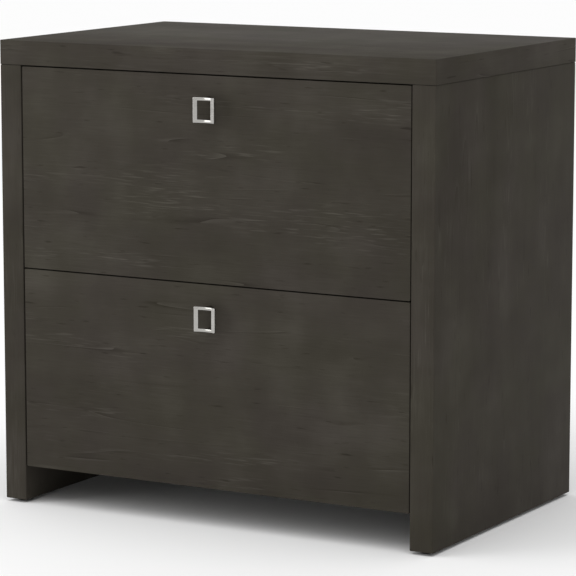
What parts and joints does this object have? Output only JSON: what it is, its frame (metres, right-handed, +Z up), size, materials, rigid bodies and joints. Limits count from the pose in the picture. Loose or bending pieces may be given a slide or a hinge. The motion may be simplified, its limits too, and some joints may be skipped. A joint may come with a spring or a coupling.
{
  "type": "lateral filing cabinet",
  "caption": "Wide desk-height filing cabinet with thick top and sides, stacked inset drawers on telescopic slides, square ring pulls and hanging-file rails.",
  "frame": {"origin": "on the floor, in the middle of the footprint with the pulls included", "axes": "+Z up, -Y out of the drawer fronts, +X to the right of someone facing the drawers"},
  "size_m": [0.766, 0.504, 0.737],
  "materials": {
    "laminate": "charcoal wood-grain laminate, satin",
    "drawer_foil": "dark foil-wrapped board, matte",
    "hardboard": "dark printed hardboard, matte",
    "zinc_steel": "bright zinc plate",
    "cage_steel": "bare steel, satin",
    "rail_steel": "plated steel bar, satin",
    "cast_zinc": "die-cast zinc, dull",
    "satin_nickel": "satin nickel plate",
    "glide_plastic": "moulded, matte"
  },
  "bodies": {
    "cabinet": {"top_panel": "laminate", "left_side_panel": "laminate", "right_side_panel": "laminate", "bottom_panel": "laminate", "back_panel": "hardboard", "front_left_glide": "glide_plastic", "front_right_glide": "glide_plastic", "rear_left_glide": "glide_plastic", "rear_right_glide": "glide_plastic", "left_front_cam_lock": "cast_zinc", "left_rear_cam_lock": "cast_zinc", "right_front_cam_lock": "cast_zinc", "right_rear_cam_lock": "cast_zinc", "left_front_cam_bolt": "zinc_steel", "left_rear_cam_bolt": "zinc_steel", "right_front_cam_bolt": "zinc_steel", "right_rear_cam_bolt": "zinc_steel", "upper_left_slide_cabinet_member": "zinc_steel", "upper_right_slide_cabinet_member": "zinc_steel", "lower_left_slide_cabinet_member": "zinc_steel", "lower_right_slide_cabinet_member": "zinc_steel"},
    "upper_drawer": {"upper_drawer_front": "laminate", "upper_drawer_left_side": "drawer_foil", "upper_drawer_right_side": "drawer_foil", "upper_drawer_back": "drawer_foil", "upper_drawer_bottom": "hardboard", "upper_front_file_rail": "rail_steel", "upper_rear_file_rail": "rail_steel", "upper_pull": "satin_nickel", "upper_pull_top_screw": "zinc_steel", "upper_pull_bottom_screw": "zinc_steel", "upper_left_slide_drawer_member": "zinc_steel", "upper_right_slide_drawer_member": "zinc_steel"},
    "lower_drawer": {"lower_drawer_front": "laminate", "lower_drawer_left_side": "drawer_foil", "lower_drawer_right_side": "drawer_foil", "lower_drawer_back": "drawer_foil", "lower_drawer_bottom": "hardboard", "lower_front_file_rail": "rail_steel", "lower_rear_file_rail": "rail_steel", "lower_pull": "satin_nickel", "lower_pull_top_screw": "zinc_steel", "lower_pull_bottom_screw": "zinc_steel", "lower_left_slide_drawer_member": "zinc_steel", "lower_right_slide_drawer_member": "zinc_steel"},
    "upper_slide_middles": {"upper_left_slide_middle_member": "zinc_steel", "upper_right_slide_middle_member": "zinc_steel"},
    "lower_slide_middles": {"lower_left_slide_middle_member": "zinc_steel", "lower_right_slide_middle_member": "zinc_steel"},
    "upper_outer_cages": {"upper_left_slide_outer_cage": "cage_steel", "upper_right_slide_outer_cage": "cage_steel"},
    "upper_inner_cages": {"upper_left_slide_inner_cage": "cage_steel", "upper_right_slide_inner_cage": "cage_steel"},
    "lower_outer_cages": {"lower_left_slide_outer_cage": "cage_steel", "lower_right_slide_outer_cage": "cage_steel"},
    "lower_inner_cages": {"lower_left_slide_inner_cage": "cage_steel", "lower_right_slide_inner_cage": "cage_steel"}
  },
  "joints": [
    {"name": "upper_drawer_slide", "type": "slide", "parent": "cabinet", "child": "upper_drawer", "axis": [0, -1, 0], "range_m": [0, 0.4]},
    {"name": "lower_drawer_slide", "type": "slide", "parent": "cabinet", "child": "lower_drawer", "axis": [0, -1, 0], "range_m": [0, 0.4]},
    {"name": "upper_middle_slide", "type": "slide", "parent": "cabinet", "child": "upper_slide_middles", "axis": [0, -1, 0], "range_m": [0, 0.2]},
    {"name": "lower_middle_slide", "type": "slide", "parent": "cabinet", "child": "lower_slide_middles", "axis": [0, -1, 0], "range_m": [0, 0.2]},
    {"name": "upper_outer_cage_roll", "type": "slide", "parent": "cabinet", "child": "upper_outer_cages", "axis": [0, -1, 0], "range_m": [0, 0.1]},
    {"name": "lower_outer_cage_roll", "type": "slide", "parent": "cabinet", "child": "lower_outer_cages", "axis": [0, -1, 0], "range_m": [0, 0.1]},
    {"name": "upper_inner_cage_roll", "type": "slide", "parent": "cabinet", "child": "upper_inner_cages", "axis": [0, -1, 0], "range_m": [0, 0.3]},
    {"name": "lower_inner_cage_roll", "type": "slide", "parent": "cabinet", "child": "lower_inner_cages", "axis": [0, -1, 0], "range_m": [0, 0.3]}
  ],
  "couplings": [
    {"joint": "upper_middle_slide", "follows": "upper_drawer_slide", "ratio": 0.5},
    {"joint": "lower_middle_slide", "follows": "lower_drawer_slide", "ratio": 0.5},
    {"joint": "upper_outer_cage_roll", "follows": "upper_drawer_slide", "ratio": 0.25},
    {"joint": "lower_outer_cage_roll", "follows": "lower_drawer_slide", "ratio": 0.25},
    {"joint": "upper_inner_cage_roll", "follows": "upper_drawer_slide", "ratio": 0.75},
    {"joint": "lower_inner_cage_roll", "follows": "lower_drawer_slide", "ratio": 0.75}
  ]
}
